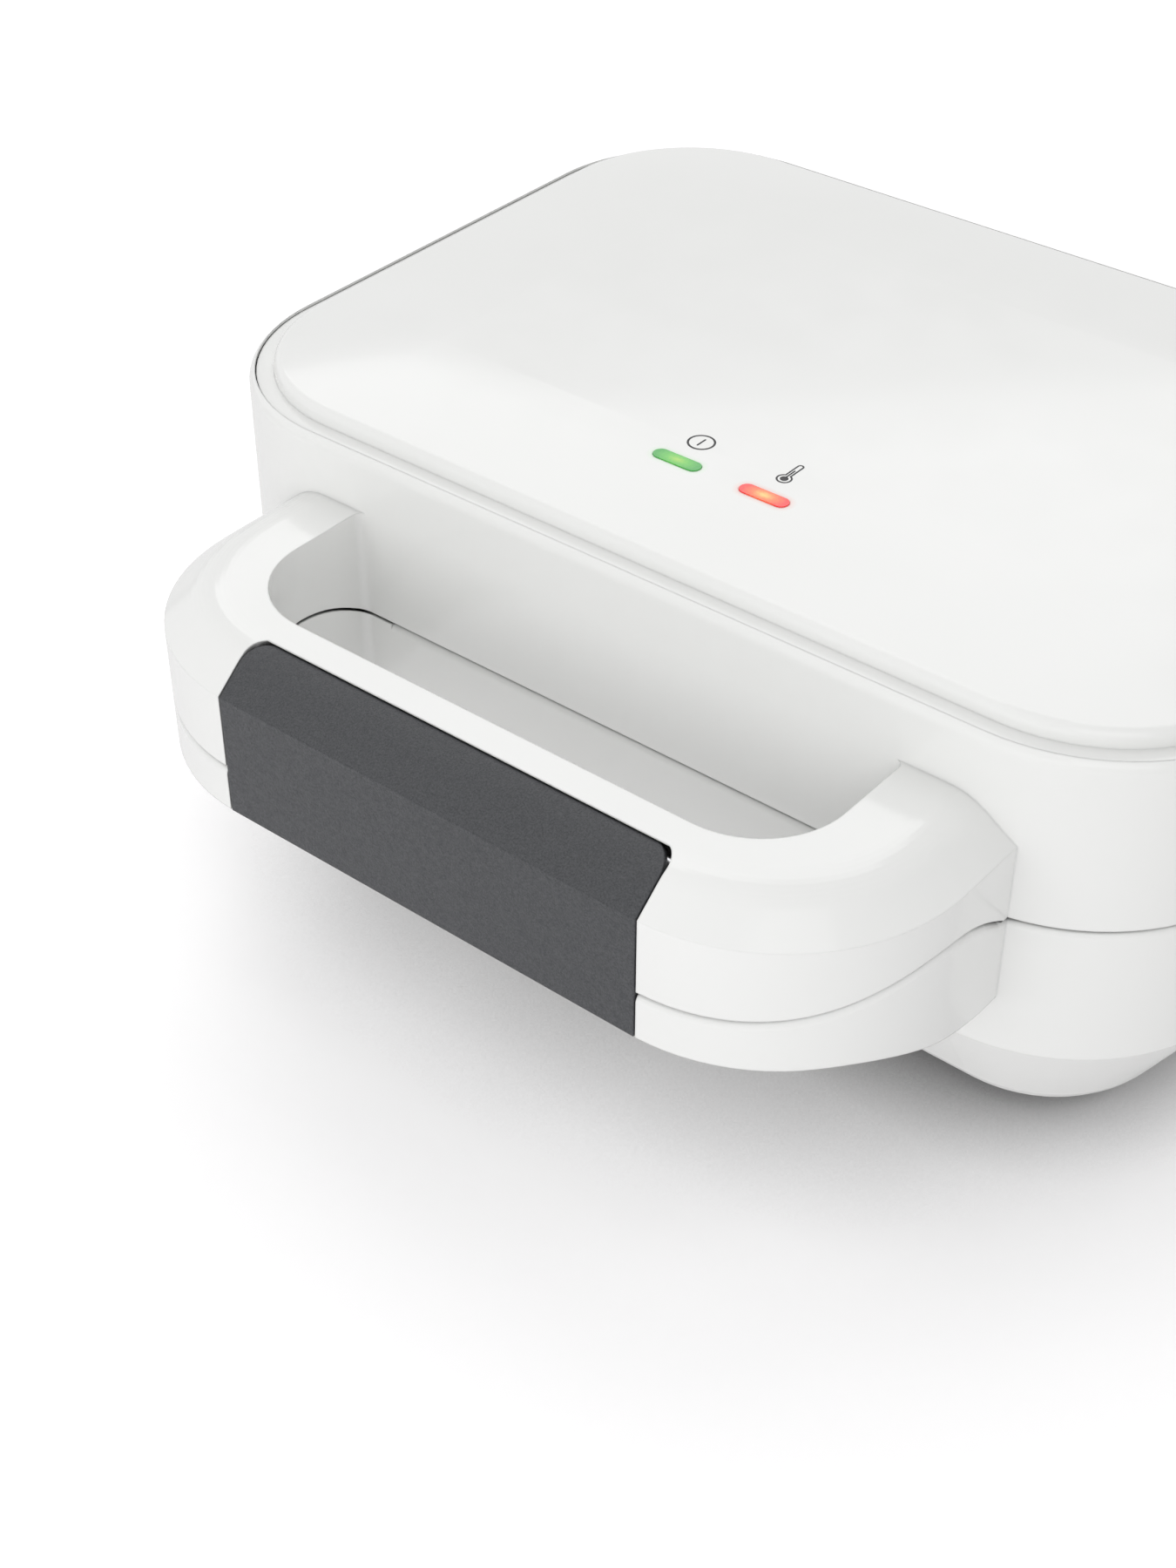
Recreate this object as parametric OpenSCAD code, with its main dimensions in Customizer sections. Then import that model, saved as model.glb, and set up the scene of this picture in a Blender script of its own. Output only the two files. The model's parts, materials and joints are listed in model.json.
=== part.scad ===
// Sandwich toaster: a hinged lid over a base, each half holding a deep-fill cooking plate,
// with a split loop handle at the front and a latch clip over it.
// Frame: origin under the middle of the toaster on the table, +X right, +Y back, +Z up.

/* [Housing] */
// Width of the lid and of the base
body_w = 268; // [262:1:290]
// Depth of the lid and of the base, without handle and hinge
body_d = 190; // [186:1:215]
// Plan radius of the housing corners
corner_r = 45; // [38:1:52]
// Wall of the mouldings
wall_t = 2.6; // [2.2:0.1:3.2]
// Height of the base's top edge above the table
base_top_h = 71.2; // [70:0.1:76]
// Dark gap between base and lid
split_gap = 0.8; // [0.6:0.1:1.2]
// Rounding of the base's top outer edge
lip_r = 1.9; // [1.2:0.1:1.9]
// Height of the lid's side wall
lid_wall_h = 41.8; // [41:0.1:48]
// Height of the crease above which the base's wall is upright
base_crease_h = 36.8; // [34:0.1:42]
// Lean of the base's wall below the crease, in degrees
base_lean = 30; // [24:1:32]
// Rounding of the base's lower edge
base_bottom_r = 16; // [12:1:18]
// Height of the base's underside above the table
underside_h = 4; // [3:0.5:5]
// Rounding of the lid's top outer edge
rim_round = 3.1; // [2:0.1:3.6]

/* [Top panel] */
// Visible width of the lid's own rim round the top panel
rim_w = 1.5; // [1:0.1:1.8]
// Seam between the rim and the top panel
seam_w = 0.3; // [0.2:0.05:0.5]
// Width of the flat ledge round the raised part
ledge_w = 4.2; // [3:0.1:7]
// Depth of the ledge below the top of the lid's wall
ledge_drop = 1.1; // [0.6:0.1:1.4]
// Thickness of the ledge
ledge_t = 2; // [1.6:0.1:2.4]
// Height of the raised part's rounded edge above the lid's wall
panel_rise = 2.8; // [2.2:0.1:3.6]
// Extra height of the panel's gently domed middle
panel_dome = 1.8; // [0.8:0.1:3]

/* [Handle] */
// Reach of the handle in front of the housing
handle_reach = 62.3; // [58:0.1:70]
// Width of the handle across its arms
handle_w = 199.2; // [190:0.1:206]
// Plan radius of the handle's outer corners
handle_r = 45; // [42:1:48]
// Depth of the front bar
bar_d = 21; // [19.5:0.5:24]
// Width of the finger opening
opening_w = 147; // [140:1:152]
// Plan radius of the opening's front corners
opening_r = 21; // [14:1:24]
// Plan radius of the opening's rear corners
opening_rear_r = 2; // [1:0.5:4]
// Height of the handle's underside at the front
handle_low_h = 60; // [58:0.5:61]
// Height of the crease round the handle
crease_h = 90.2; // [88:0.1:93]
// Height of the handle's crown
crown_h = 98.8; // [97:0.1:101]
// Slope of the shoulder above the crease, in degrees
shoulder_a = 40; // [36:1:44]
// Rounding between the shoulder and the crown
shoulder_r = 14; // [11:0.5:16]
// How far the parting line rises along the arms
part_rise = 8; // [5:0.5:9]
// How far the underside drops towards the base
low_drop = 9.6; // [6:0.1:11]

/* [Latch] */
// Width of the latch clip
latch_w = 111; // [100:1:114]
// Thickness of the latch clip
latch_t = 3; // [2.5:0.1:3.4]
// Corner radius at the latch's top edge
latch_r = 7; // [4:0.5:8]
// Seam round the latch
latch_gap = 0.4; // [0.3:0.05:0.6]
// Radius of the latch's hinge barrel
barrel_r = 2.9; // [2.7:0.1:3.1]
// Radius of the latch pin
latch_pin_r = 1.25; // [1:0.05:1.5]

/* [Cooking plates] */
// Distance from the housing's outer face to the plate's edge at each side
plate_margin = 10; // [9:0.5:12]
// Depth of a cooking plate
plate_d = 136; // [130:1:144]
// Flat border between a sandwich square and the plate's edge
edge_land = 4.5; // [4:0.5:8]
// Flat land between the two sandwich squares
centre_land = 7; // [6:0.5:12]
// Depth of the pockets
pocket_h = 17; // [12:0.5:18]
// Width of the diagonal cutting ridge at its top
ridge_w = 5; // [4:0.5:8]
// Metal left under the pockets
plate_floor = 3; // [2.5:0.1:3.6]
// Thickness of the plate's flange
flange_t = 2.4; // [2:0.1:3]

/* [Heating] */
// Radius of the sheathed heating element
element_r = 3.3; // [3:0.1:3.6]
// Width of the element's loop
element_w = 190; // [176:1:196]
// Depth of the element's loop
element_d = 84; // [76:1:92]
// Thickness of the pressed clamp bars
clamp_t = 1.2; // [1:0.1:1.5]
// Thickness of the reflector trays
reflector_t = 0.8; // [0.6:0.1:1]

/* [Lamps] */
// Distance between the two lamp lenses
lamp_pitch = 23.4; // [20:0.1:30]
// Distance of the lamps behind the lid's front wall
lamp_back = 37; // [30:0.5:50]
// Length of a lens
lens_l = 12.5; // [10:0.1:14]
// Width of a lens
lens_w = 3.8; // [3.2:0.1:5]

/* [Hinge and feet] */
// Distance of the hinge axis behind the rear wall
hinge_back = 5; // [4.9:0.1:5.6]
// Outer radius of the hinge knuckles
knuckle_r = 4.7; // [4.4:0.05:4.7]
// Radius of the hinge pins
hinge_pin_r = 2; // [1.6:0.1:2.2]
// Radius of a foot
foot_r = 8; // [6:0.5:10]
// Radius of the supply lead's hole in the gland
gland_bore_r = 3.5; // [3:0.1:4]

/* [Hidden] */
$fn = 72;
fine_fn = 720;
// Running clearance of a pin in its bore, and a free gap between parts that only sit together
pin_play = 0.05;
seat_gap = 0.3;
far = 400;

// Plan positions
overall_d = handle_reach + body_d + hinge_back + knuckle_r;
front_y = -overall_d / 2;
wall_y = front_y + handle_reach;
body_y = wall_y + body_d / 2;
rear_y = wall_y + body_d;

// The plates follow the housing's width, and the sandwich squares follow the plates
plate_w = body_w - 2 * plate_margin;
sandwich = (plate_w - centre_land) / 2 - edge_land;
// How far a plate stands out of its housing, and the depth of the rebate its flange lies in
plate_proud = (split_gap - seat_gap) / 2;
rebate_t = flange_t - plate_proud;

// Heights
lid_low_h = base_top_h + split_gap;
rim_h = lid_low_h + lid_wall_h;
hinge_y = rear_y + hinge_back;
hinge_h = base_top_h + split_gap / 2;
ledge_h = rim_h - ledge_drop;
floor_h = underside_h + wall_t;
web_t = 2.4;
web_h = rim_h - ledge_t - 6;
deck_t = 4.4;

// Colours as in the photograph
white = [0.93, 0.93, 0.92];
grey = [0.30, 0.31, 0.33];
coated = [0.13, 0.13, 0.14];
steel = [0.72, 0.73, 0.74];
black = [0.08, 0.08, 0.09];

// ---------------------------------------------------------------- plan outlines

module rounded_rect(w, d, r) {
    square([w - 2 * r, d], center = true);
    square([w, d - 2 * r], center = true);
    for (sx = [-1, 1], sy = [-1, 1])
        translate([sx * (w / 2 - r), sy * (d / 2 - r)])
            circle(r);
}

// Outline of the housings, drawn in by inset
module body_outline(inset = 0) {
    translate([0, body_y])
        rounded_rect(body_w - 2 * inset, body_d - 2 * inset, corner_r - inset);
}

// Finger opening between bar, arms and front wall, grown by grow
module opening_outline(grow = 0) {
    half = opening_w / 2 + grow;
    low = front_y + bar_d - grow;
    high = wall_y + grow;
    r_front = opening_r + grow;
    r_rear = opening_rear_r;
    for (s = [-1, 1]) {
        translate([s * (half - r_front), low + r_front])
            circle(r_front);
        translate([s * (half - r_rear), high - r_rear])
            circle(r_rear);
    }
    translate([-half + r_front, low])
        square([2 * (half - r_front), high - low]);
    translate([-half, low + r_front])
        square([2 * half, high - low - r_front - r_rear]);
    translate([-half + r_rear, high - r_rear - 1])
        square([2 * (half - r_rear), r_rear + 1]);
}

// ---------------------------------------------------------------- sweeps

// One straight stretch of a swept profile, whose x points away from the middle
module swept_side(offset_x, length) {
    translate([offset_x, 0, 0])
        rotate([90, 0, 0])
            linear_extrude(length, center = true)
                children();
}

// Sweeps a profile round a rounded rectangle; the profile's x starts at the corner's centre
module rounded_ring(w, d, r) {
    for (a = [0, 180])
        rotate(a)
            swept_side(w / 2 - r, d - 2 * r)
                children();
    for (a = [90, 270])
        rotate(a)
            swept_side(d / 2 - r, w - 2 * r)
                children();
    for (i = [0 : 3]) {
        sx = (i == 0 || i == 3) ? 1 : -1;
        sy = i < 2 ? 1 : -1;
        translate([sx * (w / 2 - r), sy * (d / 2 - r), 0])
            rotate(90 * i)
                rotate_extrude(angle = 90)
                    children();
    }
}

// Sweeps a profile round the handle: front bar, two corners and two arms that end in the wall.
// The profile's x is the distance from the handle's outer face.
module handle_sweep() {
    straight = handle_w - 2 * handle_r;
    corner_y = front_y + handle_r;
    arm_end = wall_y + wall_t - 0.5;
    translate([0, front_y, 0])
        rotate([90, 0, 90])
            linear_extrude(straight, center = true)
                children();
    for (s = [0, 1])
        mirror([s, 0, 0])
            translate([straight / 2, corner_y, 0]) {
                rotate(-90)
                    rotate_extrude(angle = 90)
                        translate([handle_r, 0])
                            mirror([1, 0])
                                children();
                translate([handle_r, (arm_end - corner_y) / 2, 0])
                    rotate([90, 0, 0])
                        linear_extrude(arm_end - corner_y, center = true)
                            mirror([1, 0])
                                children();
            }
}

// ---------------------------------------------------------------- handle

// Height that the parting line gains at distance v behind the handle's front
function part_wave(v) = part_rise * sin(180 * pow(min(max(v / handle_reach, 0), 1), 1.6));

// Depth that the underside loses there, as a smooth step
function low_step(v) =
    let (t = min(max((v / handle_reach - 0.25) / 0.72, 0), 1))
    low_drop * t * t * (3 - 2 * t);

wave_steps = 24;
wave_v = [for (i = [0 : wave_steps]) handle_reach * i / wave_steps];

// Everything above the parting line, shifted by lift
module above_parting(lift) {
    rotate([90, 0, 90])
        linear_extrude(far, center = true)
            polygon(concat(
                [[wall_y + 20, rim_h + 20], [front_y - 5, rim_h + 20], [front_y - 5, lid_low_h + lift]],
                [for (v = wave_v) [front_y + v, lid_low_h + lift + part_wave(v)]],
                [[wall_y + 20, lid_low_h + lift]]));
}

// Band between the handle's underside, raised by raise, and the parting line, lowered by drop
module below_parting(raise, drop) {
    rotate([90, 0, 90])
        linear_extrude(far, center = true)
            polygon(concat(
                [for (v = wave_v) [front_y + v, handle_low_h + raise - low_step(v)]],
                [[wall_y + 20, handle_low_h + raise - low_drop], [wall_y + 20, lid_low_h - drop]],
                [for (i = [wave_steps : -1 : 0])
                    [front_y + wave_v[i], lid_low_h - drop + part_wave(wave_v[i])]]));
}

// Outline of the handle's outer face from the left arm to the right one, as [place, inward direction]
arm_l = handle_reach - handle_r + 4;
bend_steps = 30;
outline_half = concat(
    [for (k = [4 : -1 : 1]) [[handle_w / 2, front_y + handle_r + arm_l * k / 4], [-1, 0]]],
    [for (k = [0 : bend_steps])
        let (a = -90 * k / bend_steps)
        [
            [handle_w / 2 - handle_r + handle_r * cos(a), front_y + handle_r + handle_r * sin(a)],
            [-cos(a), -sin(a)]
        ]]);
outline = concat(
    [for (q = outline_half) [[-q[0][0], q[0][1]], [-q[1][0], q[1][1]]]],
    [for (k = [len(outline_half) - 1 : -1 : 0]) outline_half[k]]);

// Section of the lip's rounding: x is the distance inwards, y the height over the parting face.
// Its first and last faces run on a little, to cut the outer and the parting face cleanly.
lip_steps = 5;
lip_turn = 90 / lip_steps;
lip_on = 0.5;
lip_arc = [for (k = [0 : lip_steps - 1])
    let (a = lip_turn * (k + 0.5))
    [lip_r - lip_r * cos(a), lip_r * sin(a) - lip_r]];
lip_start = lip_arc[0] - lip_on * [sin(lip_turn), cos(lip_turn)];
lip_end = lip_arc[lip_steps - 1] + lip_on * [cos(lip_turn), sin(lip_turn)];
lip_section = concat([[-1, 1], [-1, lip_start[1]], lip_start], lip_arc, [lip_end, [lip_end[0], 1]]);

// Cutter that rounds the lower half's top outer edge along the wavy parting line
module parting_lip() {
    m = len(lip_section);
    count = len(outline);
    points = [for (q = outline, p = lip_section)
        let (x = q[0][0] + p[0] * q[1][0], y = q[0][1] + p[0] * q[1][1])
        [x, y, lid_low_h - split_gap + part_wave(y - front_y) + p[1]]];
    sides = [for (i = [0 : count - 2], j = [0 : m - 1], half = [0, 1])
        let (a = i * m + j, b = i * m + (j + 1) % m, c = a + m, d = b + m)
        half == 0 ? [a, c, b] : [b, c, d]];
    first = [for (j = [0 : m - 1]) j];
    last = [for (j = [m - 1 : -1 : 0]) (count - 1) * m + j];
    polyhedron(points, concat(sides, [first, last]));
}

band_w = 34;
// Centre of the rounding between shoulder and crown
arc_v = (crown_h - crease_h) / tan(shoulder_a) + shoulder_r * tan(shoulder_a / 2);
arc_h = crown_h - shoulder_r;
arc_steps = 8;

// Section of the handle from its outer face inwards: upright face, shoulder, rounding and crown
module handle_section(inset) {
    r = shoulder_r - inset;
    polygon(concat(
        [[inset, 0], [band_w, 0], [band_w, crown_h - inset]],
        [for (k = [0 : arc_steps])
            let (a = shoulder_a * k / arc_steps)
            [arc_v - r * sin(a), arc_h + r * cos(a)]],
        [[inset, crease_h - inset * tan(45 - shoulder_a / 2)]]));
}

module handle_solid(inset = 0) {
    difference() {
        handle_sweep()
            handle_section(inset);
        translate([0, 0, -1])
            linear_extrude(rim_h)
                opening_outline(inset);
    }
}

// ---------------------------------------------------------------- latch geometry

// The latch turns on a barrel under the rounding, near the latch's top edge
barrel_a = 17;
latch_axis_v = arc_v - (shoulder_r - barrel_r) * sin(barrel_a);
latch_axis_h = arc_h + (shoulder_r - barrel_r) * cos(barrel_a);
// Lean of the line from the crease to the latch's top edge, and its length
latch_a = atan((latch_axis_h + barrel_r * cos(barrel_a) - crease_h) / (latch_axis_v - barrel_r * sin(barrel_a)));
latch_top_l = latch_axis_v * cos(latch_a) + (latch_axis_h - crease_h) * sin(latch_a) + barrel_r;
latch_low_h = handle_low_h;
nib_h = 0.5;
catch_depth = latch_t + nib_h + seat_gap;
catch_wall = 2;
latch_pin_l = latch_w + 8;

// Side view of the latch: x is the distance behind the handle's front, y the height
module latch_side(grow = 0) {
    over = 2 * barrel_r;
    intersection() {
        difference() {
            handle_section(-grow);
            handle_section(latch_t + grow);
        }
        polygon([
            [-1, latch_low_h - grow * 3], [latch_axis_v, latch_low_h - grow * 3], [latch_axis_v, latch_axis_h],
            [latch_axis_v - over * sin(barrel_a), latch_axis_h + over * cos(barrel_a)],
            [-1, latch_axis_h + over * cos(barrel_a)]]);
    }
    translate([latch_axis_v, latch_axis_h])
        circle(barrel_r + grow);
}

// Front view of the latch: straight sides and rounded top corners, seen square to the slope.
// The recess is less rounded, to leave room for the corners as the latch swings out.
module latch_front(grow = 0) {
    half = latch_w / 2 + grow;
    top = latch_top_l + grow;
    r = grow > 0 ? latch_r - 2 : latch_r;
    translate([0, front_y, crease_h])
        rotate([latch_a, 0, 0])
            translate([0, 0, -30])
                linear_extrude(60) {
                    translate([-half, -60])
                        square([2 * half, 60 + top - r]);
                    translate([-half + r, -60])
                        square([2 * (half - r), 60 + top]);
                    for (s = [-1, 1])
                        translate([s * (half - r), top - r])
                            circle(r);
                }
}

module latch_body(grow = 0) {
    intersection() {
        translate([0, front_y, 0])
            rotate([90, 0, 90])
                linear_extrude(latch_w + 2 * grow, center = true)
                    latch_side(grow);
        latch_front(grow);
    }
}

// Solid left behind the latch in the hollow handle
module latch_backing() {
    translate([0, front_y, 0])
        rotate([90, 0, 90])
            linear_extrude(latch_pin_l + wall_t, center = true)
                polygon([
                    [0, 0], [latch_t + 3, 0], [latch_t + 3, crease_h - 6],
                    [latch_axis_v + barrel_r + 2, latch_axis_h - barrel_r - 2],
                    [latch_axis_v + barrel_r + 2, far], [0, far]]);
}

module latch() {
    color(grey)
        difference() {
            union() {
                latch_body();
                translate([0, front_y + latch_t, latch_low_h + 3])
                    cube([latch_w - 30, 2 * nib_h, 1.6], center = true);
            }
            translate([0, front_y + latch_axis_v, latch_axis_h])
                rotate([0, 90, 0])
                    cylinder(h = latch_w + 4, r = latch_pin_r + pin_play, center = true);
        }
}

module latch_pin() {
    color(steel)
        translate([0, front_y + latch_axis_v, latch_axis_h])
            rotate([0, 90, 0])
                cylinder(h = latch_pin_l, r = latch_pin_r, center = true);
}

// ---------------------------------------------------------------- shared housing parts

// Four places where a plate is screwed to its housing
post_inset = 18;
post_x = plate_w / 2 - post_inset;
post_y = plate_d / 2 - post_inset;
post_r = 4.5;
screw_r = 1.5;
head_r = 3;
head_h = 1.8;

module at_posts() {
    for (sx = [-1, 1], sy = [-1, 1])
        translate([sx * post_x, body_y + sy * post_y, 0])
            children();
}

// Screws that hold the handle covers
cover_screw_v = 26;
cover_screw_x = handle_w / 2 - 14;
cover_screw_y = front_y + cover_screw_v;
cover_screw_wave = part_wave(cover_screw_v);
cover_t = 3;
cover_sink = 2;
cover_boss_r = 4;
cover_head_h = 0.9;
cover_screw_l = 6;

module at_cover_screws() {
    for (s = [-1, 1])
        translate([s * cover_screw_x, cover_screw_y, 0])
            children();
}

// Half of the hinge: x ranges of the knuckles on the right side
knuckle_w = 9;
knuckle_gap = 0.4;
hinge_x = 62;
lid_knuckle_w = 16;

module knuckle_side(up) {
    circle(knuckle_r);
    polygon([
        [-hinge_back - deck_inset, up * split_gap / 2], [-hinge_back - deck_inset, up * 11],
        [0, up * knuckle_r], [0, up * split_gap / 2]]);
}

// A knuckle centred on x, of width w, that reaches up (1) or down (-1) its housing's wall
module knuckle(x, w, up) {
    translate([x, hinge_y, hinge_h])
        rotate([90, 0, 90])
            linear_extrude(w, center = true)
                knuckle_side(up);
}

base_knuckle_x = lid_knuckle_w / 2 + knuckle_gap + knuckle_w / 2;

module hinge_bore() {
    translate([0, hinge_y, hinge_h])
        rotate([0, 90, 0])
            cylinder(h = far, r = hinge_pin_r + pin_play, center = true);
}

// Flat ring from the housing's wall to the plate, with the rebate that the flange lies in
module plate_deck(low, rebate_low) {
    difference() {
        translate([0, 0, low])
            linear_extrude(deck_t)
                body_outline(deck_inset);
        translate([0, body_y, low - 1])
            linear_extrude(deck_t + 2)
                rounded_rect(plate_w - 7, plate_d - 7, 10);
        translate([0, body_y, rebate_low])
            linear_extrude(rebate_t + 1)
                rounded_rect(plate_w + 2 * seat_gap, plate_d + 2 * seat_gap, 14 + seat_gap);
    }
}

// ---------------------------------------------------------------- base

boss_r = 5;
deck_inset = lip_r + 0.2;
reflector_low_h = base_top_h + plate_proud - pocket_h - plate_floor - 2 * element_r - clamp_t - 3;
// The base's plate screws are sunk into their bosses from below
seat_depth = 8;
screw_seat_h = reflector_low_h - seat_depth;

// The lower edge's rounding starts where the leaning wall ends
lean_end_h = underside_h + base_bottom_r * (1 - sin(base_lean));
bottom_arc_x = corner_r - (base_crease_h - lean_end_h) * tan(base_lean) - base_bottom_r * cos(base_lean);
flat_inset = corner_r - bottom_arc_x;

// Section of the base from the corner's centre outwards: flat bottom, rounding, leaning and upright wall
module base_section(inset, top_h) {
    out = corner_r - inset;
    r = base_bottom_r - inset;
    bend_h = base_crease_h + inset * tan(base_lean / 2);
    turn_h = underside_h + base_bottom_r;
    translate([0, bend_h])
        square([out, top_h - bend_h]);
    polygon([
        [0, turn_h], [bottom_arc_x, turn_h],
        [bottom_arc_x + r * cos(base_lean), turn_h - r * sin(base_lean)], [out, bend_h], [0, bend_h]]);
    translate([0, underside_h + inset])
        square([bottom_arc_x, base_bottom_r]);
    intersection() {
        translate([bottom_arc_x, turn_h])
            circle(r);
        square([corner_r, turn_h]);
    }
}

// Rounds off the outer corner of a section at the top of the base's wall
module lip_corner() {
    difference() {
        translate([corner_r - lip_r, base_top_h - lip_r])
            square(2 * lip_r);
        translate([corner_r - lip_r, base_top_h - lip_r])
            circle(lip_r);
    }
}

module base_shape() {
    translate([0, body_y, 0]) {
        rounded_ring(body_w, body_d, corner_r)
            difference() {
                base_section(0, base_top_h);
                lip_corner();
            }
        translate([0, 0, (base_top_h + underside_h) / 2])
            cube([body_w - 2 * corner_r, body_d - 2 * corner_r, base_top_h - underside_h], center = true);
    }
}

// Room inside the base
module base_room() {
    top_h = base_top_h + 1;
    translate([0, body_y, 0]) {
        rounded_ring(body_w, body_d, corner_r)
            base_section(wall_t, top_h);
        translate([0, 0, (top_h + floor_h) / 2])
            cube([body_w - 2 * corner_r, body_d - 2 * corner_r, top_h - floor_h], center = true);
    }
}

foot_x = body_w / 2 - corner_r + 4.5;
foot_y = body_d / 2 - corner_r + 4.5;
foot_recess = 1.5;

module at_feet() {
    for (sx = [-1, 1], sy = [-1, 1])
        translate([sx * foot_x, body_y + sy * foot_y, 0])
            children();
}

gland_x = -40;
gland_h = base_crease_h + 13.2;
gland_r = 6;

// Moulded horns at the back that the lead is wound round
horn_x = 62;
horn_l = hinge_back + knuckle_r;
horn_h = base_crease_h + 12;

module cord_horn() {
    translate([horn_x, rear_y - 1, horn_h])
        rotate([-90, 0, 0])
            cylinder(h = horn_l + 1, r = 4.5);
    translate([horn_x - 5, rear_y + horn_l - 2.4, horn_h - 8])
        cube([10, 2.4, 18]);
}

terminal_w = 36;
terminal_d = 16;
terminal_h = 12;
terminal_pitch = 11;
terminal_row = 4;
terminal_y = rear_y - flat_inset - terminal_d / 2 - 4;

module lower_housing() {
    color(white)
        difference() {
            union() {
                difference() {
                    base_shape();
                    base_room();
                }
                plate_deck(base_top_h - deck_t, base_top_h - rebate_t);
                difference() {
                    intersection() {
                        handle_solid();
                        below_parting(0, split_gap);
                    }
                    parting_lip();
                    intersection() {
                        handle_solid(wall_t);
                        below_parting(wall_t, split_gap - 1);
                        translate([-far / 2, front_y, 0])
                            cube([far, handle_reach - 1, far]);
                    }
                    translate([0, 0, -1])
                        latch_body(latch_gap);
                    translate([0, front_y, handle_low_h])
                        cube([latch_w + 2 * latch_gap, 2 * catch_depth, 40], center = true);
                }
                intersection() {
                    latch_back_wall();
                    below_parting(0, split_gap);
                }
                intersection() {
                    at_cover_screws()
                        translate([0, 0, handle_low_h - 1])
                            cylinder(h = crease_h - handle_low_h, r = cover_boss_r);
                    below_parting(0, split_gap + cover_t);
                }
                at_posts()
                    translate([0, 0, floor_h - 0.5])
                        cylinder(h = reflector_low_h - floor_h + 0.5, r = boss_r);
                for (s = [-1, 1], k = [-1, 1])
                    knuckle(s * hinge_x + k * base_knuckle_x, knuckle_w, -1);
                for (s = [0, 1])
                    mirror([s, 0, 0])
                        cord_horn();
            }
            hinge_bore();
            at_posts() {
                cylinder(h = reflector_low_h + 1, r = screw_r + 0.3);
                cylinder(h = screw_seat_h, r = head_r + 0.5);
            }
            at_cover_screws()
                translate([0, 0, handle_low_h + 2])
                    cylinder(h = 30, r = screw_r - 0.1);
            at_feet()
                translate([0, 0, underside_h - 1])
                    cylinder(h = foot_recess + 1, r = foot_r + 0.1);
            translate([gland_x, rear_y + 1, gland_h])
                rotate([90, 0, 0])
                    cylinder(h = wall_t + 3, r = gland_r + 0.1);
        }
}

// Wall of the lower bar behind the latch
module latch_back_wall() {
    translate([0, front_y + catch_depth + catch_wall / 2, handle_low_h])
        cube([latch_w + 2 * (latch_gap + wall_t), catch_wall, 40], center = true);
}

module lower_handle_cover() {
    color(white)
        difference() {
            intersection() {
                handle_solid(wall_t + 0.15);
                below_parting(0, split_gap);
                above_parting(-split_gap - cover_t);
                translate([-far / 2, front_y, 0])
                    cube([far, handle_reach - 1.5, far]);
            }
            cover_front_cut();
            at_cover_screws()
                cover_screw_hole(lid_low_h - split_gap + cover_screw_wave, -1);
        }
}

// Room for the bar's own walls behind the latch
module cover_front_cut() {
    translate([0, front_y, 50])
        cube([latch_pin_l + wall_t + 2 * seat_gap, 2 * (latch_t + 3 + seat_gap), far], center = true);
}

module cover_screw_hole(face_h, up) {
    translate([0, 0, face_h - 10])
        cylinder(h = 20, r = screw_r + 0.2);
    translate([0, 0, up > 0 ? face_h + cover_sink - 10 : face_h - cover_sink])
        cylinder(h = 10, r = head_r + 0.2);
}

module feet() {
    color(black)
        at_feet() {
            cylinder(h = underside_h + foot_recess - 0.1, r = foot_r);
        }
}

module cord_gland() {
    color(black)
        translate([gland_x, rear_y, gland_h])
            rotate([90, 0, 0])
                difference() {
                    union() {
                        translate([0, 0, -3])
                            cylinder(h = 3 - 0.05, r = gland_r + 2);
                        translate([0, 0, -1])
                            cylinder(h = wall_t + 3, r = gland_r);
                        translate([0, 0, wall_t + 0.1])
                            cylinder(h = 2, r = gland_r + 1);
                    }
                    translate([0, 0, -4])
                        cylinder(h = 20, r = gland_bore_r);
                }
}

module terminal_block() {
    color(black)
        translate([0, terminal_y, floor_h])
            difference() {
                translate([-terminal_w / 2, -terminal_d / 2, 0.05])
                    cube([terminal_w, terminal_d, terminal_h]);
                for (i = [-1 : 1])
                    translate([i * terminal_pitch, 0, terminal_h * 0.6])
                        rotate([90, 0, 0])
                            cylinder(h = terminal_d + 2, r = 2, center = true);
                for (i = [-1 : 1], k = [-1, 1])
                    translate([i * terminal_pitch, k * terminal_row, terminal_h * 0.6])
                        cylinder(h = terminal_h, r = 1.6);
            }
}

// ---------------------------------------------------------------- plates

pocket_c = (sandwich + centre_land) / 2;
pocket_r = 8;
draft = 6;

// One triangular pocket of a sandwich square, open at height 0 and deep downwards
module pocket() {
    leg = sandwich / 2 - 3;
    cut = ridge_w / 2 * sqrt(2);
    corners = [[-leg, -leg], [leg - cut, -leg], [-leg, leg - cut]];
    centre = [-leg / 3, -leg / 3];
    function drawn_in(p, k) = p + k * (centre - p) / norm(centre - p);
    hull()
        for (p = corners) {
            top = drawn_in(p, pocket_r * (p == corners[0] ? 1.4 : 2.4));
            low = drawn_in(p, pocket_r * (p == corners[0] ? 1.4 : 2.4) + draft);
            translate([top[0], top[1], 0])
                cylinder(h = 1, r = pocket_r, $fn = 32);
            translate([low[0], low[1], -pocket_h + pocket_r])
                sphere(pocket_r, $fn = 32);
        }
}

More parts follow.
